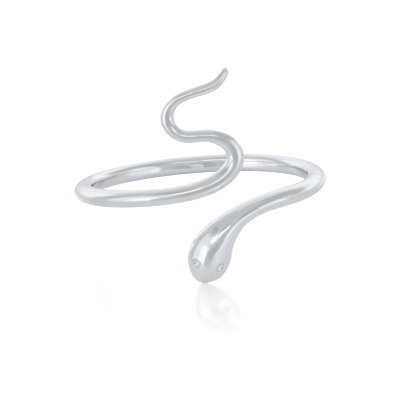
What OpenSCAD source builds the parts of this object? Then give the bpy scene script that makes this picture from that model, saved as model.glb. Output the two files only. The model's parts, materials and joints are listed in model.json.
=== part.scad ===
// Snake ring: one cast piece of silver. A snake lies once round the finger: its tail stands up in
// an S at the front, its body is the band, and its head hangs down beside the tail.
//
// The snake is drawn on the finger's surface, unrolled: an angle round the finger, which grows from
// the front to the left, and a height along it. Each section lies across the body's own direction
// and is then wrapped back round the finger. The bore is cut last, so it is a true cylinder. The
// ring then leans back onto its nose and the back of its band, as it rests on a table.

/* [Finger] */
// Diameter of the finger hole
finger_d = 17.3; // [16.5:0.1:18.5]

/* [Body] */
// Width of the band at the sides, along the finger
band_w = 1.4; // [1.3:0.05:1.7]
// Width of the band behind
back_w = 1.45; // [1.3:0.05:1.6]
// Thickness of the band's round section, before the finger hole flattens its inside
band_t = 1.7; // [1.6:0.05:1.9]
// Depth of the flat that the finger hole leaves along the inside of the body
flat_depth = 0.15; // [0.1:0.01:0.2]

/* [Head] */
// Width of the head at its widest
head_w = 3.25; // [3:0.05:3.6]
// Thickness of the head's section at its widest, from the ridge down to the finger
head_t = 2.9; // [2.7:0.05:3.1]
// How far the head's section is drawn from an oval, at 0, towards a gable with its ridge outside
ridge = 0.85; // [0.6:0.05:0.95]

/* [Eyes] */
// Diameter of an eye, a round bead set into the head
eye_d = 0.64; // [0.56:0.02:0.7]
// How far an eye stands out of the head
eye_proud = 0.14; // [0.08:0.02:0.18]
// Distance between the eyes, across the head
eye_gap = 1.65; // [1.5:0.05:1.8]

/* [Rest] */
// Lean of the finger hole, back from upright, with nose and back of the band on the table
lean_back = 16.5; // [15:0.1:18]
// Lean to the side that goes with it
lean_side = 2.7; // [1:0.1:4]

/* [Hidden] */

finger_r = finger_d / 2;
// The unrolled surface keeps its true lengths at the middle of the band's thickness
mm_per_deg = (finger_r + band_t / 2 - flat_depth) * PI / 180;

// The tail, from its tip to where it joins the band.
// Columns: angle round the finger, height along it, width and thickness as shares of the band's
tail = [
    [-18.4, 10.66, 0.00, 0.00],
    [-17.9, 10.52, 0.40, 0.36],
    [-16.1, 10.10, 0.50, 0.43],
    [-12.2,  9.39, 0.60, 0.50],
    [ -5.5,  9.10, 0.60, 0.53],
    [  1.5,  8.88, 0.56, 0.56],
    [  8.5,  8.50, 0.58, 0.59],
    [ 13.3,  7.72, 0.70, 0.62],
    [ 14.2,  6.75, 0.83, 0.65],
    [ 10.0,  5.73, 0.70, 0.68],
    [  3.0,  5.46, 0.71, 0.71],
    [ -4.3,  5.60, 0.69, 0.74],
    [-11.8,  5.24, 0.82, 0.76],
    [-17.2,  4.57, 0.93, 0.79],
    [-19.2,  3.50, 1.00, 0.85],
    [-15.4,  2.50, 1.01, 0.88],
    [ -8.0,  1.72, 1.01, 0.91],
    [  1.0,  1.28, 0.97, 0.94],
    [ 12.5,  0.97, 0.93, 0.96],
    [ 26.0,  0.81, 0.96, 0.99],
];

// The band's sections are spaced evenly round the finger. It lies level behind, climbs to the tail
// on the left and drops a little to the neck on the right.
band_from = 42;
band_to = 297;
band_spans = 10;
climb_from = 170;
climb = 0.64;
drop_from = 200;
drop = 0.26;
back = 180;
side_from_back = 90;

// The neck and head, from the band to the nose.
// Columns: angle round the finger, height along it, width and thickness as shares of the head's
head = [
    [309.0, -0.20, 0.45, 0.655],
    [319.0, -0.25, 0.44, 0.655],
    [327.0, -0.34, 0.42, 0.655],
    [333.5, -0.52, 0.43, 0.66],
    [339.0, -0.82, 0.45, 0.69],
    [344.6, -1.21, 0.52, 0.76],
    [349.4, -1.79, 0.66, 0.87],
    [353.5, -2.44, 0.82, 0.95],
    [356.7, -3.20, 0.96, 1.00],
    [358.6, -4.10, 1.02, 0.98],
    [360.0, -4.95, 0.88, 0.90],
    [361.8, -5.62, 0.63, 0.70],
    [362.8, -6.45, 0.00, 0.00],
];

// A share of the way, from none at 0 to all at 1, that starts gently
function eased(share) = pow(max(0, share), 2);

function band_height(angle) =
    climb * eased((climb_from - angle) / (climb_from - band_from))
    - drop * eased((angle - drop_from) / (band_to - drop_from));

function band_width(angle) =
    back_w + (band_w - back_w) * min(1, eased(abs(angle - back) / side_from_back));

band = [for (i = [0:band_spans])
    let (angle = band_from + (band_to - band_from) * i / band_spans)
    [angle, band_height(angle), band_width(angle), band_t]];

function sized(rows, w, t) = [for (row = rows) [row[0], row[1], row[2] * w, row[3] * t]];
stations = concat(sized(tail, band_w, band_t), band, sized(head, head_w, head_t));
last = len(stations) - 1;

// Past each end the body's line turns back on itself and its width and thickness change sign, which
// closes the end with a round point
function turned_back(row) = [row[0], row[1], -row[2], -row[3]];
controls = concat([turned_back(stations[1])], stations, [turned_back(stations[last - 1])]);

// Uniform cubic B-spline: the weights of four neighbouring controls, and their rates of change
function weights(t) =
    let (u = 1 - t)
    [pow(u, 3), 3 * pow(t, 3) - 6 * t * t + 4, 3 * pow(u, 3) - 6 * u * u + 4, pow(t, 3)] / 6;
function rates(t) =
    let (u = 1 - t)
    [-u * u, 3 * t * t - 4 * t, 4 * u - 3 * u * u, t * t] / 2;
function four(span) = [for (k = [0:3]) controls[span + k]];
function unrolled(step) = [step[0] * mm_per_deg, step[1]];

// A ring of the skin: [its station, direction of the body on the unrolled surface]
function ring_at(span, t) =
    let (run = unrolled(rates(t) * four(span)))
    [weights(t) * four(span), run / norm(run)];

// A longer span has more rings, but they are closer together in a short one, where the body bends
rings_per_root_mm = 3.4;
function span_rings(span) =
    ceil(rings_per_root_mm * sqrt(norm(unrolled(four(span)[2] - four(span)[1]))));

// The first ring, at the very tip of the tail, is a point
rings = [for (span = [0:last - 1])
    let (n = span_rings(span))
    for (i = [(span == 0 ? 1 : 0):n - 1]) ring_at(span, i / n)];
tail_end = ring_at(0, 0)[0];
nose_end = ring_at(last - 1, 1)[0];

// A point of the unrolled surface, at a height over the finger, wrapped round the finger
function wrap(angle, height, over) =
    [-(finger_r + over) * sin(angle), -(finger_r + over) * cos(angle), height];

// The section's centre lies over the finger by half its thickness, less the flat's share of it
function lift(thick) = thick * (0.5 - flat_depth / band_t);

// The outer half of a section is an oval on the tail, the band and the slender neck. The head's is
// drawn towards a gable, more so the broader it is for its thickness.
slender = 0.9;
broad = 1.3;
function ridged(at) =
    at[0] < band_to ? 0 : ridge * max(0, min(1, (at[2] / at[3] - slender) / (broad - slender)));

// The gable is a hyperbola: straight flanks that meet in a rounded ridge
ridge_round = 0.3;
ridge_top = sqrt(1 + pow(ridge_round, 2));
function gable(across) =
    (ridge_top - sqrt(pow(across, 2) + pow(ridge_round, 2))) / (ridge_top - ridge_round);
function rise(turn, share) =
    sin(turn) < 0 ? sin(turn) : (1 - share) * sin(turn) + share * gable(cos(turn));

// A point on a ring of the skin, at a turn from the section's left side over its top.
// Nothing of it comes nearer to the finger than least.
function skin(ring, turn, least = -flat_depth) =
    let (at = ring[0], ahead = ring[1])
    let (across = at[2] / 2 * cos(turn), up = at[3] / 2 * rise(turn, ridged(at)))
    wrap(at[0] - ahead[1] * across / mm_per_deg, at[1] + ahead[0] * across, max(least, lift(at[3]) + up));

sides = 26;
turns = [for (k = [0:sides - 1]) 360 * (k + 0.5) / sides];

module body() {
    points = concat([wrap(tail_end[0], tail_end[1], 0)],
        [for (ring = rings, turn = turns) skin(ring, turn)],
        [wrap(nose_end[0], nose_end[1], 0)]);
    n = len(rings);
    nose = len(points) - 1;
    function id(ring, side) = 1 + ring * sides + side % sides;
    polyhedron(points, concat(
        [for (k = [0:sides - 1]) [0, id(0, k + 1), id(0, k)]],
        [for (r = [0:n - 2], k = [0:sides - 1]) each [
            [id(r, k), id(r + 1, k + 1), id(r + 1, k)],
            [id(r, k), id(r, k + 1), id(r + 1, k + 1)]]],
        [for (k = [0:sides - 1]) [nose, id(n - 1, k), id(n - 1, k + 1)]]
    ), convexity = 10);
}

// The eyes sit on the third span from the nose, one on each flank of the head. Each bead is sunk into
// the skin along the direction that the skin faces there.
eye_span = last - 3;
eye_share = 0.4;
share_step = 0.02;
turn_step = 2;
function eye_skin(share, turn) = skin(ring_at(eye_span, share), turn);
function facing(turn) =
    let (along = eye_skin(eye_share + share_step, turn) - eye_skin(eye_share - share_step, turn))
    let (over = eye_skin(eye_share, turn + turn_step) - eye_skin(eye_share, turn - turn_step))
    cross(over, along) / norm(cross(over, along));
turn_from_top = asin(eye_gap / ring_at(eye_span, eye_share)[0][2]);
eye_centres = [for (turn = [90 - turn_from_top, 90 + turn_from_top])
    eye_skin(eye_share, turn) - (eye_d / 2 - eye_proud) * facing(turn)];
module eyes() {
    for (centre = eye_centres)
        translate(centre)
            sphere(d = eye_d, $fn = 24);
}

// The finger hole. It is eased a little past the band, where only tail and head lie on the finger.
bore_h = 2.2;
bore_ease = 0.02;
bore_reach = 15;
module bore() {
    cylinder(r = finger_r, h = bore_h, center = true, $fn = 120);
    for (side = [-1, 1])
        translate([0, 0, side * (bore_h + bore_reach) / 2])
            cylinder(r = finger_r + bore_ease, h = bore_reach, center = true, $fn = 120);
}

module casting() {
    difference() {
        union() {
            body();
            eyes();
        }
        bore();
    }
}

// The same lean as the module below gives, for a single point
function leant(p) =
    let (z = p[2] * cos(lean_back) - p[1] * sin(lean_back))
    [p[0] * cos(lean_side) + z * sin(lean_side),
        p[1] * cos(lean_back) + p[2] * sin(lean_back),
        z * cos(lean_side) - p[0] * sin(lean_side)];
skin_outline = [for (ring = rings, turn = turns) leant(skin(ring, turn, least = 0))];
eye_fronts = [for (centre = eye_centres) leant(centre) - [0, eye_d / 2, 0]];
outline = concat(skin_outline, eye_fronts);
low = [for (axis = [0:2]) min([for (p = outline) p[axis]])];
high = [for (axis = [0:2]) max([for (p = outline) p[axis]])];

// At rest the ring stands on z = 0, with the middle of its footprint's box at the origin
module snake_ring() {
    color("silver")
        translate([-(low[0] + high[0]) / 2, -(low[1] + high[1]) / 2, -low[2]])
            rotate([-lean_back, lean_side, 0]) casting();
}

snake_ring();
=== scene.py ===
import json
import math

import bpy
from mathutils import Euler, Matrix, Vector


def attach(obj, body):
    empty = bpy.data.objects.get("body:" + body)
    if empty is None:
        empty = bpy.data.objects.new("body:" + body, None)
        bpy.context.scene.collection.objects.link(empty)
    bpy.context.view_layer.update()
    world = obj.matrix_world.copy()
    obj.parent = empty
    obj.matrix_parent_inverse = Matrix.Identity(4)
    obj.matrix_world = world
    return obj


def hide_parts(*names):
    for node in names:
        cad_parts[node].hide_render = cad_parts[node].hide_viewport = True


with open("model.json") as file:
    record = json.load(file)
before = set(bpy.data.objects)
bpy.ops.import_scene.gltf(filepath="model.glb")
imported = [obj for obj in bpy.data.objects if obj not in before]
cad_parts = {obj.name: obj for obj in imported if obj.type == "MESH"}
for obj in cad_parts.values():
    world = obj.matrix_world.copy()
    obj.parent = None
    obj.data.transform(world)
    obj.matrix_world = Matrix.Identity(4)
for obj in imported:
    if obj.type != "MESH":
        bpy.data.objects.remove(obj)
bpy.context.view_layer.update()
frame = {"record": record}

bl_info = {
    "name": "Snake ring",
    "version": (1, 0, 0),
    "blender": (4, 5, 0),
    "location": "View3D > Sidebar > Snake ring",
    "description": "Dresses a cast silver snake ring and sets up its table, light and camera",
    "category": "Add Mesh",
}

MM = 0.001

# The finger hole as it was packed: where its middle lies, which way it runs and its radius
HOLE = next(mount for mount in frame["record"]["mounts"] if mount["name"] == "finger_hole")
HOLE_MIDDLE = Vector(HOLE["pos_m"])
HOLE_AXIS = Vector(HOLE["axis"]).normalized()
FINGER_R = HOLE["dims"]["r_mm"] * MM

# The ring leans back onto its nose and the back of its band, and a little to the side
LEAN_BACK = math.asin(HOLE_AXIS.y)
LEAN_SIDE = math.atan2(HOLE_AXIS.x, HOLE_AXIS.z)

# The snake's line on the unrolled finger, from the tip of the tail to where it joins the band.
# Columns: degrees round the finger from the front to the left, millimetres along it, width and
# thickness as shares of the band's
TAIL = [
    (-18.4, 10.66, 0.00, 0.00),
    (-17.9, 10.52, 0.40, 0.36),
    (-16.1, 10.10, 0.50, 0.43),
    (-12.2, 9.39, 0.60, 0.50),
    (-5.5, 9.10, 0.60, 0.53),
    (1.5, 8.88, 0.56, 0.56),
    (8.5, 8.50, 0.58, 0.59),
    (13.3, 7.72, 0.70, 0.62),
    (14.2, 6.75, 0.83, 0.65),
    (10.0, 5.73, 0.70, 0.68),
    (3.0, 5.46, 0.71, 0.71),
    (-4.3, 5.60, 0.69, 0.74),
    (-11.8, 5.24, 0.82, 0.76),
    (-17.2, 4.57, 0.93, 0.79),
    (-19.2, 3.50, 1.00, 0.85),
    (-15.4, 2.50, 1.01, 0.88),
    (-8.0, 1.72, 1.01, 0.91),
    (1.0, 1.28, 0.97, 0.94),
    (12.5, 0.97, 0.93, 0.96),
    (26.0, 0.81, 0.96, 0.99),
]

# The neck and head, from the band to the nose, with widths and thicknesses as shares of the head's
HEAD = [
    (309.0, -0.20, 0.45, 0.655),
    (319.0, -0.25, 0.44, 0.655),
    (327.0, -0.34, 0.42, 0.655),
    (333.5, -0.52, 0.43, 0.66),
    (339.0, -0.82, 0.45, 0.69),
    (344.6, -1.21, 0.52, 0.76),
    (349.4, -1.79, 0.66, 0.87),
    (353.5, -2.44, 0.82, 0.95),
    (356.7, -3.20, 0.96, 1.00),
    (358.6, -4.10, 1.02, 0.98),
    (360.0, -4.95, 0.88, 0.90),
    (361.8, -5.62, 0.63, 0.70),
    (362.8, -6.45, 0.00, 0.00),
]

# The band between them is level behind, climbs to the tail on the left and drops to the neck on
# the right. Angles in degrees, climb and drop in millimetres
BAND_FROM, BAND_TO, BAND_SPANS = 42, 297, 10
CLIMB_FROM, CLIMB = 170, 0.64
DROP_FROM, DROP = 200, 0.26
BACK, SIDE_FROM_BACK = 180, 90

# A section is an oval up to this width for its thickness, and fully ridged at the broader one.
# Only the neck and head are ridged
SLENDER, BROAD = 0.9, 1.3

# The eyes sit on the third span from the nose, this far along it, and the skin has this many times
# the rings there
EYE_SPAN_FROM_NOSE = 3
EYE_SHARE = 0.4
EYE_SPAN_RINGS = 3

# Points of the skin that are closer together than this are one point, which closes its two ends
MERGE_DISTANCE = 0.001 * MM

# How many times as long as wide the buffing lines are
LINE_STRETCH = 40
# Most of a noise lies between these values
NOISE_LOW, NOISE_HIGH = 0.3, 0.7
# Roughness of the metal on the finest lines, on the coarsest and in the cuts, as shares of the
# polish's own
FINE_LINES, COARSE_LINES, CUTS = 0.7, 1.4, 4

ACRYLIC_ROUGHNESS, ACRYLIC_IOR = 0.12, 1.49

# The camera sees what is between these distances, in metres
CAMERA_NEAR, CAMERA_FAR = 0.01, 20

# What the light tent shows the polished metal: a soft panel or gap a row, later rows over earlier.
# Columns: bearing of its middle in degrees (0 is the viewer's side, 90 the right), half its width,
# elevation of its middle, half its height, softness of its edges, brightness
PANELS = [
    (-152, 34, -2, 36, 14, 0.95),
    (180, 30, 6, 26, 20, 0.88),
    (180, 36, 42, 14, 14, 0.72),
    (-101, 8, 15, 46, 6, 0.58),
    (-112, 9, 38, 14, 8, 0.54),
    (-68, 25, 8, 34, 10, 0.84),
    (-54, 15, 13, 19, 16, 1.06),
    (-48, 46, 44, 9, 9, 0.79),
    (-20, 16, 45, 6, 4, 1.09),
    (-72, 43, 65, 6, 6, 0.45),
    (64, 18, 2, 28, 8, 0.82),
    (60, 12, 0, 12, 10, 0.88),
    (46, 7, -4, 14, 5, 0.98),
    (77, 8, 12, 11, 6, 0.92),
    (101, 17, 0, 30, 12, 0.68),
    (146, 26, -10, 24, 16, 0.95),
    (103, 48, 46, 14, 12, 0.49),
    (118, 18, 28, 14, 16, 0.50),
    (1, 38, 17, 12, 4, 0.52),
    (-1, 43, -6, 16, 6, 0.55),
    (5, 22, 8, 13, 10, 0.46),
    (-34, 6, 28, 7, 6, 0.80),
    (32, 18, 27, 6, 5, 0.52),
    (22, 16, 56, 6, 6, 0.47),
    (20, 18, 42, 6, 4, 1.03),
    (53, 4, 32, 14, 5, 0.44),
]

# The tent round the panels: its brightness up to one elevation and from another on, in degrees
TENT, ZENITH = 0.61, 0.56
TENT_TO, ZENITH_FROM = 30, 75

# The pools of light that the polished ring throws on the table, in millimetres on the table.
# Columns: right of the ring's middle, behind it, how far from there the light fades out, brightness
POOLS = [
    (2, -5, 26, 0.12),
    (16, 9, 9, 0.25),
    (-13, 8, 9, 0.25),
    (11, -22, 10, 0.26),
    (5, -15, 5, 0.14),
]


def srgb(code):
    """A colour written as sRGB hex, in the linear values that shaders take."""
    parts = [int(code[i : i + 2], 16) / 255 for i in (1, 3, 5)]
    return [part / 12.92 if part <= 0.04045 else ((part + 0.055) / 1.055) ** 2.4 for part in parts]


class SnakeShape(bpy.types.PropertyGroup):
    """Sizes of the casting."""

    band_width: bpy.props.FloatProperty(
        name="Band width", description="Width of the band at its sides, along the finger",
        default=1.4 * MM, min=1.3 * MM, max=1.7 * MM, unit="LENGTH", precision=5)
    back_width: bpy.props.FloatProperty(
        name="Back width", description="Width of the band behind",
        default=1.45 * MM, min=1.3 * MM, max=1.6 * MM, unit="LENGTH", precision=5)
    band_thickness: bpy.props.FloatProperty(
        name="Band thickness", description="Thickness of its oval before the inside is flattened",
        default=1.7 * MM, min=1.6 * MM, max=1.9 * MM, unit="LENGTH", precision=5)
    flat_depth: bpy.props.FloatProperty(
        name="Flat depth", description="Depth of the flat that runs along the inside",
        default=0.15 * MM, min=0.1 * MM, max=0.2 * MM, unit="LENGTH", precision=5)
    head_width: bpy.props.FloatProperty(
        name="Head width", description="Width of the head at its widest",
        default=3.25 * MM, min=3.0 * MM, max=3.6 * MM, unit="LENGTH", precision=5)
    head_thickness: bpy.props.FloatProperty(
        name="Head thickness", description="Thickness of the head at its widest, up to its ridge",
        default=2.9 * MM, min=2.7 * MM, max=3.1 * MM, unit="LENGTH", precision=5)
    edge_rounding: bpy.props.FloatProperty(
        name="Edge rounding", description="How far the polish rounds the edges of the inside flat",
        default=0.36 * MM, min=0.05 * MM, max=0.4 * MM, unit="LENGTH", precision=5)
    ridge: bpy.props.FloatProperty(
        name="Ridge", description="How far the head's oval is drawn towards a gable, 0 is an oval",
        default=0.85, min=0.6, max=0.95, subtype="FACTOR")
    ridge_rounding: bpy.props.FloatProperty(
        name="Ridge rounding", description="Roundness of the ridge, as a share of half the width",
        default=0.3, min=0.05, max=1, subtype="FACTOR")
    sides: bpy.props.IntProperty(
        name="Sides", description="Points round each ring of the skin",
        default=160, min=32, max=200)
    crowding: bpy.props.FloatProperty(
        name="Crowding", description="How much closer together those points are on the outside",
        default=0.3, min=0, max=0.8, subtype="FACTOR")
    rings_per_root_mm: bpy.props.FloatProperty(
        name="Ring density", description="Rings of the skin for a span of one millimetre",
        default=8.0, min=3, max=12)


class SnakeEyes(bpy.types.PropertyGroup):
    """Sizes of the eyes, a bead in a fine cut ring on each side of the head."""

    diameter: bpy.props.FloatProperty(
        name="Bead diameter", description="Diameter of the bead that an eye is",
        default=0.64 * MM, min=0.56 * MM, max=0.7 * MM, unit="LENGTH", precision=5)
    proud: bpy.props.FloatProperty(
        name="Bead height", description="How far the bead stands out of the head",
        default=0.14 * MM, min=0.08 * MM, max=0.18 * MM, unit="LENGTH", precision=5)
    apart: bpy.props.FloatProperty(
        name="Distance apart", description="Distance between the eyes, across the head",
        default=1.65 * MM, min=1.5 * MM, max=1.8 * MM, unit="LENGTH", precision=5)
    cut_radius: bpy.props.FloatProperty(
        name="Cut radius", description="Radius of the ring cut round the bead, at its deepest",
        default=0.33 * MM, min=0.2 * MM, max=0.4 * MM, unit="LENGTH", precision=5)
    cut_width: bpy.props.FloatProperty(
        name="Cut width", description="Width of the cut ring",
        default=0.16 * MM, min=0.05 * MM, max=0.2 * MM, unit="LENGTH", precision=5)
    cut_depth: bpy.props.FloatProperty(
        name="Cut depth", description="Depth of the cut ring",
        default=0.03 * MM, min=0.0, max=0.1 * MM, unit="LENGTH", precision=5)


class SilverFinish(bpy.types.PropertyGroup):
    """Finish of the polished metal."""

    metal: bpy.props.FloatVectorProperty(
        name="Metal", description="Colour of the plated silver", subtype="COLOR", size=3,
        default=srgb("#F4F7FB"), min=0, max=1)
    tarnish: bpy.props.FloatVectorProperty(
        name="Tarnish", description="Colour of the film left where no buff reaches",
        subtype="COLOR", size=3, default=srgb("#CFD0D2"), min=0, max=1)
    roughness: bpy.props.FloatProperty(
        name="Roughness", description="Roughness of the polished metal", default=0.02, min=0, max=1,
        subtype="FACTOR")
    line_spacing: bpy.props.FloatProperty(
        name="Buffing lines", description="Distance between the fine lines that buffing leaves",
        default=0.05 * MM, min=0.01 * MM, max=0.2 * MM, unit="LENGTH", precision=5)
    line_height: bpy.props.FloatProperty(
        name="Line height", description="Height of those lines",
        default=0.0002 * MM, min=0, max=0.001 * MM, unit="LENGTH", precision=6)
    wave_length: bpy.props.FloatProperty(
        name="Filing waves", description="Length of the soft waves that filing leaves on the wire",
        default=2.2 * MM, min=0.5 * MM, max=5 * MM, unit="LENGTH", precision=5)
    wave_height: bpy.props.FloatProperty(
        name="Wave height", description="Height of those waves",
        default=0.006 * MM, min=0, max=0.02 * MM, unit="LENGTH", precision=6)


class StudioStage(bpy.types.PropertyGroup):
    """Table, light and camera."""

    table_colour: bpy.props.FloatVectorProperty(
        name="Table", description="Colour of the table's white acrylic", subtype="COLOR", size=3,
        default=srgb("#F6F6F6"), min=0, max=1)
    table_white: bpy.props.FloatProperty(
        name="Table white", description="Brightness at which the camera exposes the table",
        default=1.3, min=0, max=2)
    mirror_share: bpy.props.FloatProperty(
        name="Mirror share", description="How much of a mirror image the table shows the camera",
        default=0.6, min=0, max=1, subtype="FACTOR")
    mirror_reach: bpy.props.FloatProperty(
        name="Mirror reach", description="How far from the nose that mirror image fades out",
        default=24 * MM, unit="LENGTH", precision=5)
    mirror_roughness: bpy.props.FloatProperty(
        name="Mirror roughness", description="How soon that mirror image blurs with height",
        default=0.18, min=0, max=1, subtype="FACTOR")
    pools: bpy.props.FloatProperty(
        name="Pools of light", description="Share of their brightness that the pools of light have",
        default=1.0, min=0, max=4)
    table_size: bpy.props.FloatProperty(
        name="Table size", description="Length of the table's sides", default=3.0, unit="LENGTH")
    camera_above_band: bpy.props.FloatProperty(
        name="Camera angle", description="How far the camera looks down on the band's own plane",
        default=math.radians(10.55), subtype="ANGLE")
    camera_roll: bpy.props.FloatProperty(
        name="Camera roll", description="How far the picture is turned, right side up",
        default=math.radians(4.5), subtype="ANGLE")
    camera_distance: bpy.props.FloatProperty(
        name="Camera distance", description="From the camera to the middle of the finger hole",
        default=0.25, unit="LENGTH")
    view_width: bpy.props.FloatProperty(
        name="View width", description="Width of the picture, at the middle of the finger hole",
        default=32.36 * MM, unit="LENGTH", precision=5)
    view_below: bpy.props.FloatProperty(
        name="View below", description="How far the picture's middle is below that of the hole",
        default=1.25 * MM, unit="LENGTH", precision=5)


def add_node(tree, kind, inputs=None, **settings):
    """Adds a node. Its inputs, by name or number, take a value or the socket that feeds them."""
    made = tree.nodes.new(kind)
    for name, value in settings.items():
        setattr(made, name, value)
    for key, value in (inputs or {}).items():
        if isinstance(value, bpy.types.NodeSocket):
            tree.links.new(value, made.inputs[key])
        else:
            made.inputs[key].default_value = value
    return made


def eased(share):
    """A share of the way, from none at 0 to all at 1, that starts gently."""
    return max(0.0, share) ** 2


def band_stations(shape):
    """The band's rows, in the columns of the tables above but with true widths and thicknesses."""
    rows = []
    for i in range(BAND_SPANS + 1):
        angle = BAND_FROM + (BAND_TO - BAND_FROM) * i / BAND_SPANS
        height = CLIMB * eased((CLIMB_FROM - angle) / (CLIMB_FROM - BAND_FROM))
        height -= DROP * eased((angle - DROP_FROM) / (BAND_TO - DROP_FROM))
        wide = min(1.0, eased(abs(angle - BACK) / SIDE_FROM_BACK))
        width = shape.back_width + (shape.band_width - shape.back_width) * wide
        rows.append((angle, height, width, shape.band_thickness))
    return rows


def unrolled_radius(shape):
    """The radius at which the unrolled surface keeps its true lengths: the middle of the band."""
    return FINGER_R + shape.band_thickness / 2 - shape.flat_depth


def controls(shape):
    """The snake's stations in metres on the unrolled finger: along the arc, along the finger,
    width and thickness. Past each end the line turns back and width and thickness change sign,
    which closes the end with a round point."""
    rows = [(a, h, w * shape.band_width, t * shape.band_thickness) for a, h, w, t in TAIL]
    rows += band_stations(shape)
    rows += [(a, h, w * shape.head_width, t * shape.head_thickness) for a, h, w, t in HEAD]
    arc = unrolled_radius(shape)
    stations = [Vector((math.radians(a) * arc, h * MM, w, t)) for a, h, w, t in rows]
    turned_back = [Vector((s[0], s[1], -s[2], -s[3])) for s in (stations[1], stations[-2])]
    return [turned_back[0], *stations, turned_back[1]]


def station_at(points, span, t):
    """Point and direction of the uniform cubic B-spline through four neighbouring controls."""
    u = 1 - t
    weights = (u**3, 3 * t**3 - 6 * t * t + 4, 3 * u**3 - 6 * u * u + 4, t**3)
    rates = (-u * u, 3 * t * t - 4 * t, 4 * u - 3 * u * u, t * t)
    four = points[span : span + 4]
    at = sum((point * weight for point, weight in zip(four, weights)), Vector((0, 0, 0, 0))) / 6
    step = sum((point * rate for point, rate in zip(four, rates)), Vector((0, 0, 0, 0))) / 2
    return at, step.xy.normalized()


def seat(shape):
    """How high the oval's middle lies over the finger, as a share of its thickness."""
    return 0.5 - shape.flat_depth / shape.band_thickness


def wrap(arc, height, over, shape):
    """A point of the unrolled surface, at a height over the finger, wrapped round the finger."""
    angle, radius = arc / unrolled_radius(shape), FINGER_R + over
    return Vector((-radius * math.sin(angle), -radius * math.cos(angle), height))


def ridge_share(at, shape):
    """How far a section is drawn towards a gable: the more, the broader it is for its thickness."""
    if at[0] < math.radians(BAND_TO) * unrolled_radius(shape) or not at[3]:
        return 0.0
    return shape.ridge * min(1.0, max(0.0, (at[2] / at[3] - SLENDER) / (BROAD - SLENDER)))


def eye_points(shape, eyes):
    """Where the two eyes sit on the flanks of the head."""
    points = controls(shape)
    at, ahead = station_at(points, len(points) - 3 - EYE_SPAN_FROM_NOSE, EYE_SHARE)
    share, soft = ridge_share(at, shape), shape.ridge_rounding
    cosine = eyes.apart / at[2]
    gable = math.hypot(1, soft) - math.hypot(cosine, soft)
    gable /= math.hypot(1, soft) - soft
    rise = (1 - share) * math.sqrt(1 - cosine**2) + share * gable
    over = seat(shape) * at[3] + at[3] / 2 * rise
    found = []
    for across in (-eyes.apart / 2, eyes.apart / 2):
        found.append(wrap(at[0] - ahead.y * across, at[1] + ahead.x * across, over, shape))
    return found


def path_mesh(shape):
    """The snake's line as a mesh of joined points that carry what the skin needs at each."""
    points = controls(shape)
    spans = len(points) - 3
    eye_span = spans - EYE_SPAN_FROM_NOSE
    stations = []
    for span in range(spans):
        length = (points[span + 2].xy - points[span + 1].xy).length / MM
        count = math.ceil(shape.rings_per_root_mm * math.sqrt(length))
        if span == eye_span:
            count *= EYE_SPAN_RINGS
        stations += [station_at(points, span, i / count) for i in range(count)]
    stations.append(station_at(points, spans - 1, 1))
    mesh = bpy.data.meshes.new("snake_line")
    places = [(at[0], at[1], 0) for at, _ in stations]
    mesh.from_pydata(places, [(i, i + 1) for i in range(len(places) - 1)], [])
    along, run = 0.0, []
    for i, place in enumerate(places):
        along += math.dist(place, places[i - 1]) if i else 0.0
        run.append(along)
    carried = {
        "along": run,
        "rise": [at[3] / 2 for at, _ in stations],
        "ridge": [ridge_share(at, shape) for at, _ in stations],
    }
    for name, values in carried.items():
        mesh.attributes.new(name, "FLOAT", "POINT").data.foreach_set("value", values)
    side = []
    for at, ahead in stations:
        side += [-ahead.y * at[2] / 2, ahead.x * at[2] / 2, 0]
    mesh.attributes.new("side", "FLOAT_VECTOR", "POINT").data.foreach_set("vector", side)
    return mesh


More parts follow.
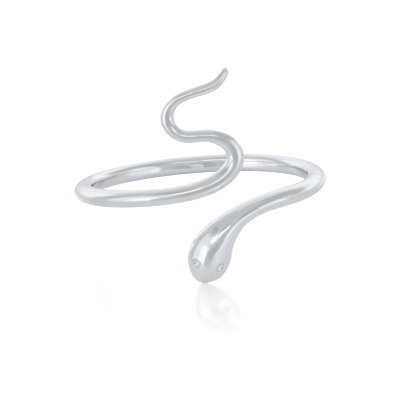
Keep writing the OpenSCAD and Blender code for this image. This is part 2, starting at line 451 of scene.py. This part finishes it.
def skin_tree():
    """Geometry nodes that sweep the snake's oval along its line, wrap it round the finger with a
    flat inside, raise the eyes and lean the casting back as it rests."""
    tree = bpy.data.node_groups.new("snake_skin", "GeometryNodeTree")
    sockets = (
        ("Line", "NodeSocketGeometry"), ("Sides", "NodeSocketInt"), ("Crowding", "NodeSocketFloat"),
        ("Finger Radius", "NodeSocketFloat"), ("Unrolled Radius", "NodeSocketFloat"),
        ("Seat", "NodeSocketFloat"), ("Edge Rounding", "NodeSocketFloat"),
        ("Ridge Rounding", "NodeSocketFloat"),
        ("Left Eye", "NodeSocketVector"), ("Right Eye", "NodeSocketVector"),
        ("Bead Radius", "NodeSocketFloat"), ("Bead Proud", "NodeSocketFloat"),
        ("Cut Radius", "NodeSocketFloat"), ("Cut Width", "NodeSocketFloat"),
        ("Cut Depth", "NodeSocketFloat"), ("Lean", "NodeSocketRotation"),
        ("Middle", "NodeSocketVector"), ("Material", "NodeSocketMaterial"),
    )
    for name, kind in sockets:
        tree.interface.new_socket(name, in_out="INPUT", socket_type=kind)
    tree.interface.new_socket("Casting", in_out="OUTPUT", socket_type="NodeSocketGeometry")
    given = add_node(tree, "NodeGroupInput").outputs

    # The profile is a circle whose points are crowded towards the outside of the ring
    index = add_node(tree, "GeometryNodeInputIndex").outputs[0]
    step = add_node(tree, "ShaderNodeMath", {0: math.tau, 1: given["Sides"]}, operation="DIVIDE")
    even = add_node(tree, "ShaderNodeMath", {0: index, 1: step.outputs[0]}, operation="MULTIPLY")
    swing = add_node(tree, "ShaderNodeMath", {0: even.outputs[0]}, operation="COSINE")
    turn = add_node(
        tree, "ShaderNodeMath", {0: swing.outputs[0], 1: given["Crowding"], 2: even.outputs[0]},
        operation="MULTIPLY_ADD")
    circle = add_node(tree, "GeometryNodeCurvePrimitiveCircle", {"Resolution": given["Sides"]})
    profile = add_node(
        tree, "GeometryNodeStoreNamedAttribute",
        {"Geometry": circle.outputs["Curve"], "Name": "turn", "Value": turn.outputs[0]},
        data_type="FLOAT", domain="POINT")

    # The sweep gives the skin its faces; where they go is worked out after it
    line = add_node(tree, "GeometryNodeMeshToCurve", {"Mesh": given["Line"]})
    place = add_node(tree, "GeometryNodeInputPosition").outputs[0]
    marked = add_node(
        tree, "GeometryNodeStoreNamedAttribute",
        {"Geometry": line.outputs["Curve"], "Name": "centre", "Value": place},
        data_type="FLOAT_VECTOR", domain="POINT")
    swept = add_node(
        tree, "GeometryNodeCurveToMesh",
        {"Curve": marked.outputs["Geometry"], "Profile Curve": profile.outputs["Geometry"]})
    read = {}
    for name, kind in (("turn", "FLOAT"), ("rise", "FLOAT"), ("along", "FLOAT"), ("ridge", "FLOAT"),
                       ("centre", "FLOAT_VECTOR"), ("side", "FLOAT_VECTOR")):
        found = add_node(tree, "GeometryNodeInputNamedAttribute", {"Name": name}, data_type=kind)
        read[name] = found.outputs["Attribute"]
    cosine = add_node(tree, "ShaderNodeMath", {0: read["turn"]}, operation="COSINE").outputs[0]
    sine = add_node(tree, "ShaderNodeMath", {0: read["turn"]}, operation="SINE").outputs[0]

    # On the unrolled finger: the oval's point, and how high it is over the finger
    offset = add_node(
        tree, "ShaderNodeVectorMath", {0: read["side"], "Scale": cosine}, operation="SCALE")
    point = add_node(
        tree, "ShaderNodeVectorMath", {0: read["centre"], 1: offset.outputs[0]}, operation="ADD")
    point = add_node(tree, "ShaderNodeSeparateXYZ", {0: point.outputs[0]}).outputs
    twice_seat = add_node(tree, "ShaderNodeMath", {0: given["Seat"], 1: 2.0}, operation="MULTIPLY")
    # A ridged section is an oval drawn towards a gable, which is a hyperbola: straight flanks that
    # meet in a rounded ridge
    cosine_square = add_node(tree, "ShaderNodeMath", {0: cosine, 1: 2.0}, operation="POWER")
    soft = add_node(tree, "ShaderNodeMath", {0: given["Ridge Rounding"], 1: 2.0}, operation="POWER")
    low = add_node(
        tree, "ShaderNodeMath", {0: cosine_square.outputs[0], 1: soft.outputs[0]}, operation="ADD")
    low = add_node(tree, "ShaderNodeMath", {0: low.outputs[0]}, operation="SQRT")
    high = add_node(tree, "ShaderNodeMath", {0: soft.outputs[0], 1: 1.0}, operation="ADD")
    high = add_node(tree, "ShaderNodeMath", {0: high.outputs[0]}, operation="SQRT")
    fall = add_node(
        tree, "ShaderNodeMath", {0: high.outputs[0], 1: low.outputs[0]}, operation="SUBTRACT")
    whole = add_node(
        tree, "ShaderNodeMath", {0: high.outputs[0], 1: given["Ridge Rounding"]},
        operation="SUBTRACT")
    gable = add_node(
        tree, "ShaderNodeMath", {0: fall.outputs[0], 1: whole.outputs[0]}, operation="DIVIDE")
    outside = add_node(tree, "ShaderNodeMath", {0: sine, 1: 0.0}, operation="GREATER_THAN")
    ridged = add_node(
        tree, "ShaderNodeMath", {0: outside.outputs[0], 1: read["ridge"]}, operation="MULTIPLY")
    shaped = add_node(
        tree, "ShaderNodeMix", {0: ridged.outputs[0], 2: sine, 3: gable.outputs[0]},
        data_type="FLOAT")
    height = add_node(
        tree, "ShaderNodeMath", {0: twice_seat.outputs[0], 1: shaped.outputs[0]}, operation="ADD")
    over = add_node(
        tree, "ShaderNodeMath", {0: height.outputs[0], 1: read["rise"]}, operation="MULTIPLY")
    over = add_node(
        tree, "ShaderNodeMath", {0: over.outputs[0], 1: 0.0, 2: given["Edge Rounding"]},
        operation="SMOOTH_MAX")

    # Wrapped round the finger
    radius = add_node(
        tree, "ShaderNodeMath", {0: given["Finger Radius"], 1: over.outputs[0]}, operation="ADD")
    inward = add_node(tree, "ShaderNodeMath", {0: radius.outputs[0], 1: -1.0}, operation="MULTIPLY")
    angle = add_node(
        tree, "ShaderNodeMath", {0: point["X"], 1: given["Unrolled Radius"]}, operation="DIVIDE")
    part_x = add_node(tree, "ShaderNodeMath", {0: angle.outputs[0]}, operation="SINE")
    part_y = add_node(tree, "ShaderNodeMath", {0: angle.outputs[0]}, operation="COSINE")
    x = add_node(
        tree, "ShaderNodeMath", {0: inward.outputs[0], 1: part_x.outputs[0]}, operation="MULTIPLY")
    y = add_node(
        tree, "ShaderNodeMath", {0: inward.outputs[0], 1: part_y.outputs[0]}, operation="MULTIPLY")
    wrapped = add_node(
        tree, "ShaderNodeCombineXYZ", {"X": x.outputs[0], "Y": y.outputs[0], "Z": point["Y"]})
    skin = add_node(
        tree, "GeometryNodeSetPosition",
        {"Geometry": swept.outputs["Mesh"], "Position": wrapped.outputs[0]})

    # The metal's own coordinates: along the snake, and round its section with no seam
    round_x = add_node(tree, "ShaderNodeMath", {0: cosine, 1: read["rise"]}, operation="MULTIPLY")
    round_y = add_node(tree, "ShaderNodeMath", {0: sine, 1: read["rise"]}, operation="MULTIPLY")
    grain = add_node(
        tree, "ShaderNodeCombineXYZ",
        {"X": read["along"], "Y": round_x.outputs[0], "Z": round_y.outputs[0]})
    grained = add_node(
        tree, "GeometryNodeStoreNamedAttribute",
        {"Geometry": skin.outputs[0], "Name": "grain", "Value": grain.outputs[0]},
        data_type="FLOAT_VECTOR", domain="POINT")
    closed = add_node(
        tree, "GeometryNodeMergeByDistance",
        {"Geometry": grained.outputs[0], "Distance": MERGE_DISTANCE})

    # The eyes: a bead, and a fine cut ring round it
    here = add_node(tree, "GeometryNodeInputPosition").outputs[0]
    to_left = add_node(
        tree, "ShaderNodeVectorMath", {0: here, 1: given["Left Eye"]}, operation="DISTANCE")
    to_right = add_node(
        tree, "ShaderNodeVectorMath", {0: here, 1: given["Right Eye"]}, operation="DISTANCE")
    away = add_node(
        tree, "ShaderNodeMath", {0: to_left.outputs["Value"], 1: to_right.outputs["Value"]},
        operation="MINIMUM").outputs[0]
    off_cut = add_node(
        tree, "ShaderNodeMath", {0: away, 1: given["Cut Radius"]}, operation="SUBTRACT")
    off_cut = add_node(tree, "ShaderNodeMath", {0: off_cut.outputs[0]}, operation="ABSOLUTE")
    half_cut = add_node(
        tree, "ShaderNodeMath", {0: given["Cut Width"], 1: 0.5}, operation="MULTIPLY")
    cut = add_node(
        tree, "ShaderNodeMapRange",
        {"Value": off_cut.outputs[0], "From Min": 0.0, "From Max": half_cut.outputs[0],
         "To Min": 1.0, "To Max": 0.0}, interpolation_type="SMOOTHSTEP")
    floor = add_node(
        tree, "ShaderNodeMath", {0: cut.outputs[0], 1: given["Cut Depth"]}, operation="MULTIPLY")
    floor = add_node(tree, "ShaderNodeMath", {0: floor.outputs[0], 1: -1.0}, operation="MULTIPLY")
    bead_square = add_node(
        tree, "ShaderNodeMath", {0: given["Bead Radius"], 1: 2.0}, operation="POWER")
    away_square = add_node(tree, "ShaderNodeMath", {0: away, 1: 2.0}, operation="POWER")
    left_over = add_node(
        tree, "ShaderNodeMath", {0: bead_square.outputs[0], 1: away_square.outputs[0]},
        operation="SUBTRACT")
    left_over = add_node(
        tree, "ShaderNodeMath", {0: left_over.outputs[0], 1: 0.0}, operation="MAXIMUM")
    cap = add_node(tree, "ShaderNodeMath", {0: left_over.outputs[0]}, operation="SQRT")
    sunk = add_node(
        tree, "ShaderNodeMath", {0: given["Bead Radius"], 1: given["Bead Proud"]},
        operation="SUBTRACT")
    bead = add_node(
        tree, "ShaderNodeMath", {0: cap.outputs[0], 1: sunk.outputs[0]}, operation="SUBTRACT")
    relief = add_node(
        tree, "ShaderNodeMath", {0: bead.outputs[0], 1: floor.outputs[0]}, operation="MAXIMUM")
    normal = add_node(tree, "GeometryNodeInputNormal").outputs[0]
    raised = add_node(
        tree, "ShaderNodeVectorMath", {0: normal, "Scale": relief.outputs[0]}, operation="SCALE")
    hollow = add_node(
        tree, "GeometryNodeStoreNamedAttribute",
        {"Geometry": closed.outputs[0], "Name": "hollow", "Value": cut.outputs[0]},
        data_type="FLOAT", domain="POINT")
    eyed = add_node(
        tree, "GeometryNodeSetPosition",
        {"Geometry": hollow.outputs[0], "Offset": raised.outputs[0]})

    smooth = add_node(tree, "GeometryNodeSetShadeSmooth", {"Geometry": eyed.outputs[0]})
    rested = add_node(
        tree, "GeometryNodeTransform",
        {"Geometry": smooth.outputs[0], "Translation": given["Middle"], "Rotation": given["Lean"]})
    real = add_node(tree, "GeometryNodeRealizeInstances", {"Geometry": rested.outputs[0]})
    done = add_node(
        tree, "GeometryNodeSetMaterial",
        {"Geometry": real.outputs[0], "Material": given["Material"]})
    add_node(tree, "NodeGroupOutput", {0: done.outputs[0]})
    return tree


def plain_mesh(obj, tree, values):
    """Runs the tree on the object with these named inputs and keeps the result as its mesh."""
    modifier = obj.modifiers.new(tree.name, "NODES")
    modifier.node_group = tree
    for item in tree.interface.items_tree:
        if item.name in values:
            modifier[item.identifier] = values[item.name]
    evaluated = obj.evaluated_get(bpy.context.evaluated_depsgraph_get())
    mesh = bpy.data.meshes.new_from_object(evaluated)
    obj.modifiers.remove(modifier)
    obj.data = mesh
    return mesh


def polished_silver(finish):
    """Sterling silver, cast, filed, buffed bright and rhodium plated: the eye gets a near mirror
    whose reflections waver a little along the wire, with hair-fine lines that run the same way and
    a greyer film in the cuts that the buff doesn't reach."""
    material = bpy.data.materials.new("rhodium_plated_sterling_silver")
    material.use_nodes = True
    tree = material.node_tree
    tree.nodes.clear()
    grain = add_node(tree, "ShaderNodeAttribute", attribute_name="grain").outputs["Vector"]
    hollow = add_node(tree, "ShaderNodeAttribute", attribute_name="hollow").outputs["Fac"]

    # Filing waves: noise a few millimetres long and as wide as the wire
    waves_at = add_node(
        tree, "ShaderNodeMapping", {"Vector": grain, "Scale": [1 / finish.wave_length] * 3})
    waves = add_node(
        tree, "ShaderNodeTexNoise",
        {"Vector": waves_at.outputs[0], "Scale": 1.0, "Detail": 1.0, "Roughness": 0.4})
    # Buffing lines: noise drawn out along the wire
    lines_scale = 1 / finish.line_spacing
    lines_at = add_node(
        tree, "ShaderNodeMapping",
        {"Vector": grain, "Scale": (lines_scale / LINE_STRETCH, lines_scale, lines_scale)})
    lines = add_node(
        tree, "ShaderNodeTexNoise",
        {"Vector": lines_at.outputs[0], "Scale": 1.0, "Detail": 2.0, "Roughness": 0.6})

    wave_bump = add_node(
        tree, "ShaderNodeBump",
        {"Height": waves.outputs[0], "Distance": finish.wave_height, "Strength": 1.0})
    line_bump = add_node(
        tree, "ShaderNodeBump",
        {"Height": lines.outputs[0], "Distance": finish.line_height, "Strength": 1.0,
         "Normal": wave_bump.outputs[0]})
    shine = add_node(
        tree, "ShaderNodeMapRange",
        {"Value": lines.outputs[0], "From Min": NOISE_LOW, "From Max": NOISE_HIGH,
         "To Min": finish.roughness * FINE_LINES, "To Max": finish.roughness * COARSE_LINES})
    rough = add_node(
        tree, "ShaderNodeMapRange",
        {"Value": hollow, "To Min": shine.outputs[0], "To Max": finish.roughness * CUTS})
    # Inputs 6 and 7 are the two colours that the node mixes
    colour = add_node(
        tree, "ShaderNodeMix",
        {"Factor": hollow, 6: (*finish.metal, 1), 7: (*finish.tarnish, 1)}, data_type="RGBA")
    shader = add_node(
        tree, "ShaderNodeBsdfPrincipled",
        {"Base Color": colour.outputs[2], "Metallic": 1.0, "Roughness": rough.outputs[0],
         "Normal": line_bump.outputs[0]})
    add_node(tree, "ShaderNodeOutputMaterial", {"Surface": shader.outputs[0]})
    return material


def white_acrylic(stage, nose):
    """White acrylic sheet, cast and glossy. The camera exposes it to plain white, where only the
    faint mirror image of what is close above it shows; the silver mirrors it as the lit sheet, with
    the pools of light that the polished ring throws on it."""
    material = bpy.data.materials.new("white_acrylic_sheet")
    material.use_nodes = True
    tree = material.node_tree
    tree.nodes.clear()
    lit = add_node(
        tree, "ShaderNodeBsdfPrincipled",
        {"Base Color": (*stage.table_colour, 1), "Roughness": ACRYLIC_ROUGHNESS,
         "IOR": ACRYLIC_IOR})
    here = add_node(tree, "ShaderNodeTexCoord").outputs["Object"]
    for right, back, reach, light in POOLS:
        off = add_node(
            tree, "ShaderNodeVectorMath", {0: here, 1: (right * MM, back * MM, 0)},
            operation="DISTANCE")
        pool = add_node(
            tree, "ShaderNodeMapRange",
            {"Value": off.outputs["Value"], "From Min": 0.0, "From Max": reach * MM,
             "To Min": light * stage.pools, "To Max": 0.0}, interpolation_type="SMOOTHSTEP")
        glow = add_node(tree, "ShaderNodeEmission", {"Strength": pool.outputs[0]})
        lit = add_node(tree, "ShaderNodeAddShader", {0: lit.outputs[0], 1: glow.outputs[0]})
    white = add_node(
        tree, "ShaderNodeEmission", {"Color": (1, 1, 1, 1), "Strength": stage.table_white})
    away = add_node(tree, "ShaderNodeVectorMath", {0: here, 1: nose}, operation="DISTANCE")
    share = add_node(
        tree, "ShaderNodeMapRange",
        {"Value": away.outputs["Value"], "From Min": 0.0, "From Max": stage.mirror_reach,
         "To Min": stage.mirror_share, "To Max": 0.0}, interpolation_type="SMOOTHSTEP")
    mirror = add_node(
        tree, "ShaderNodeBsdfAnisotropic",
        {"Color": (1, 1, 1, 1), "Roughness": stage.mirror_roughness})
    exposed = add_node(
        tree, "ShaderNodeMixShader",
        {0: share.outputs[0], 1: white.outputs[0], 2: mirror.outputs[0]})
    seen = add_node(tree, "ShaderNodeLightPath").outputs["Is Camera Ray"]
    shader = add_node(
        tree, "ShaderNodeMixShader", {0: seen, 1: lit.outputs[0], 2: exposed.outputs[0]})
    add_node(tree, "ShaderNodeOutputMaterial", {"Surface": shader.outputs[0]})
    return material


def light_tent():
    """The world as a light tent with soft panels and darker gaps between them. The camera itself
    sees it as plain white."""
    world = bpy.data.worlds.new("light_tent")
    world.use_nodes = True
    tree = world.node_tree
    tree.nodes.clear()
    way = add_node(tree, "ShaderNodeTexCoord").outputs["Generated"]
    parts = add_node(tree, "ShaderNodeSeparateXYZ", {0: way}).outputs
    behind = add_node(tree, "ShaderNodeMath", {0: parts["Y"], 1: -1.0}, operation="MULTIPLY")
    bearing = add_node(
        tree, "ShaderNodeMath", {0: parts["X"], 1: behind.outputs[0]}, operation="ARCTAN2")
    elevation = add_node(tree, "ShaderNodeMath", {0: parts["Z"]}, operation="ARCSINE")
    upwards = add_node(
        tree, "ShaderNodeMapRange",
        {"Value": elevation.outputs[0], "From Min": math.radians(TENT_TO),
         "From Max": math.radians(ZENITH_FROM), "To Min": TENT, "To Max": ZENITH},
        interpolation_type="SMOOTHSTEP")
    light = upwards.outputs[0]
    for middle, half_width, height, half_height, soft, brightness in PANELS:
        masks = []
        extents = ((bearing, middle, half_width), (elevation, height, half_height))
        for value, centre, half in extents:
            off = add_node(
                tree, "ShaderNodeMath", {0: value.outputs[0], 1: math.radians(centre)},
                operation="SUBTRACT")
            off = add_node(
                tree, "ShaderNodeMath", {0: off.outputs[0], 1: math.pi, 2: -math.pi},
                operation="WRAP")
            off = add_node(tree, "ShaderNodeMath", {0: off.outputs[0]}, operation="ABSOLUTE")
            mask = add_node(
                tree, "ShaderNodeMapRange",
                {"Value": off.outputs[0], "From Min": math.radians(half - soft / 2),
                 "From Max": math.radians(half + soft / 2), "To Min": 1.0, "To Max": 0.0},
                interpolation_type="SMOOTHSTEP")
            masks.append(mask.outputs[0])
        both = add_node(tree, "ShaderNodeMath", {0: masks[0], 1: masks[1]}, operation="MULTIPLY")
        mixed = add_node(
            tree, "ShaderNodeMix", {0: both.outputs[0], 2: light, 3: brightness}, data_type="FLOAT")
        light = mixed.outputs[0]
    seen = add_node(tree, "ShaderNodeLightPath").outputs["Is Camera Ray"]
    shown = add_node(tree, "ShaderNodeMix", {0: seen, 2: light, 3: 1.0}, data_type="FLOAT")
    background = add_node(
        tree, "ShaderNodeBackground", {"Color": (1, 1, 1, 1), "Strength": shown.outputs[0]})
    add_node(tree, "ShaderNodeOutputWorld", {"Surface": background.outputs[0]})
    return world


def place_camera(stage):
    """Sets the camera at the photograph's angle to the ring, leant back as the ring rests."""
    down, roll = stage.camera_above_band, stage.camera_roll
    back = Vector((0, -math.cos(down), math.sin(down)))
    right = Vector((1, 0, 0))
    up = Vector((0, math.sin(down), math.cos(down)))
    right, up = (
        right * math.cos(roll) - up * math.sin(roll),
        up * math.cos(roll) + right * math.sin(roll),
    )
    rest = Euler((-LEAN_BACK, LEAN_SIDE, 0)).to_matrix()
    back, right, up = rest @ back, rest @ right, rest @ up
    spot = HOLE_MIDDLE + back * stage.camera_distance
    aim = HOLE_MIDDLE - up * stage.view_below
    back = (spot - aim).normalized()
    up = back.cross(right).normalized()
    right = up.cross(back)
    data = bpy.data.cameras.new("camera")
    data.lens = data.sensor_width * stage.camera_distance / stage.view_width
    data.clip_start, data.clip_end = CAMERA_NEAR, CAMERA_FAR
    camera = bpy.data.objects.new("camera", data)
    turn = Matrix((right, up, back)).transposed()
    camera.matrix_world = Matrix.Translation(spot) @ turn.to_4x4()
    bpy.context.scene.collection.objects.link(camera)
    bpy.context.scene.camera = camera


class RING_OT_casting(bpy.types.Operator):
    """Makes the whole snake, tail, band, head and eyes, as the one casting that it is"""

    bl_idname = "snake_ring.casting"
    bl_label = "Snake casting"

    def execute(self, context):
        scene = context.scene
        shape, eyes = scene.snake_shape, scene.snake_eyes
        left_eye, right_eye = eye_points(shape, eyes)
        casting = bpy.data.objects.new("snake_casting", path_mesh(shape))
        scene.collection.objects.link(casting)
        mesh = plain_mesh(casting, skin_tree(), {
            "Sides": shape.sides,
            "Crowding": shape.crowding,
            "Finger Radius": FINGER_R,
            "Unrolled Radius": unrolled_radius(shape),
            "Seat": seat(shape),
            "Edge Rounding": shape.edge_rounding,
            "Ridge Rounding": shape.ridge_rounding,
            "Left Eye": left_eye,
            "Right Eye": right_eye,
            "Bead Radius": eyes.diameter / 2,
            "Bead Proud": eyes.proud,
            "Cut Radius": eyes.cut_radius,
            "Cut Width": eyes.cut_width,
            "Cut Depth": eyes.cut_depth,
            "Lean": Euler((-LEAN_BACK, LEAN_SIDE, 0)),
            "Middle": HOLE_MIDDLE,
            "Material": polished_silver(scene.silver_finish),
        })
        if not mesh.polygons:
            raise RuntimeError("the snake's skin came out empty")
        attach(casting, "root")
        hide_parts("snake_ring")
        return {"FINISHED"}


class RING_OT_stage(bpy.types.Operator):
    """Lays the white table, hangs the light tent and sets up the camera"""

    bl_idname = "snake_ring.stage"
    bl_label = "Table, light and camera"

    def execute(self, context):
        scene = context.scene
        stage = scene.studio_stage
        half = stage.table_size / 2
        mesh = bpy.data.meshes.new("table")
        corners = [(-half, -half, 0), (half, -half, 0), (half, half, 0), (-half, half, 0)]
        mesh.from_pydata(corners, [], [(0, 1, 2, 3)])
        skin = bpy.data.objects["snake_casting"].data.vertices
        nose = min((point.co for point in skin if point.co.y < 0), key=lambda place: place.z)
        mesh.materials.append(white_acrylic(stage, nose.copy()))
        table = bpy.data.objects.new("table", mesh)
        scene.collection.objects.link(table)
        scene.world = light_tent()
        scene.view_settings.view_transform = "Standard"
        place_camera(stage)
        return {"FINISHED"}


class RING_PT_sidebar(bpy.types.Panel):
    """Lists what the add-on makes"""

    bl_idname = "RING_PT_sidebar"
    bl_label = "Snake ring"
    bl_space_type = "VIEW_3D"
    bl_region_type = "UI"
    bl_category = "Snake ring"

    def draw(self, context):
        for operator in (RING_OT_casting, RING_OT_stage):
            self.layout.operator(operator.bl_idname)
        for group in ("snake_shape", "snake_eyes", "silver_finish", "studio_stage"):
            box = self.layout.box()
            settings = getattr(context.scene, group)
            for name in settings.bl_rna.properties.keys():
                if name not in ("rna_type", "name"):
                    box.prop(settings, name)


GROUPS = {
    "snake_shape": SnakeShape,
    "snake_eyes": SnakeEyes,
    "silver_finish": SilverFinish,
    "studio_stage": StudioStage,
}
CLASSES = (*GROUPS.values(), RING_OT_casting, RING_OT_stage, RING_PT_sidebar)


def register():
    for made in CLASSES:
        bpy.utils.register_class(made)
    for name, group in GROUPS.items():
        setattr(bpy.types.Scene, name, bpy.props.PointerProperty(type=group))


def unregister():
    for name in GROUPS:
        delattr(bpy.types.Scene, name)
    for made in reversed(CLASSES):
        bpy.utils.unregister_class(made)


def main():
    register()
    bpy.ops.snake_ring.casting()
    bpy.ops.snake_ring.stage()


if __name__ == "__main__":
    main()
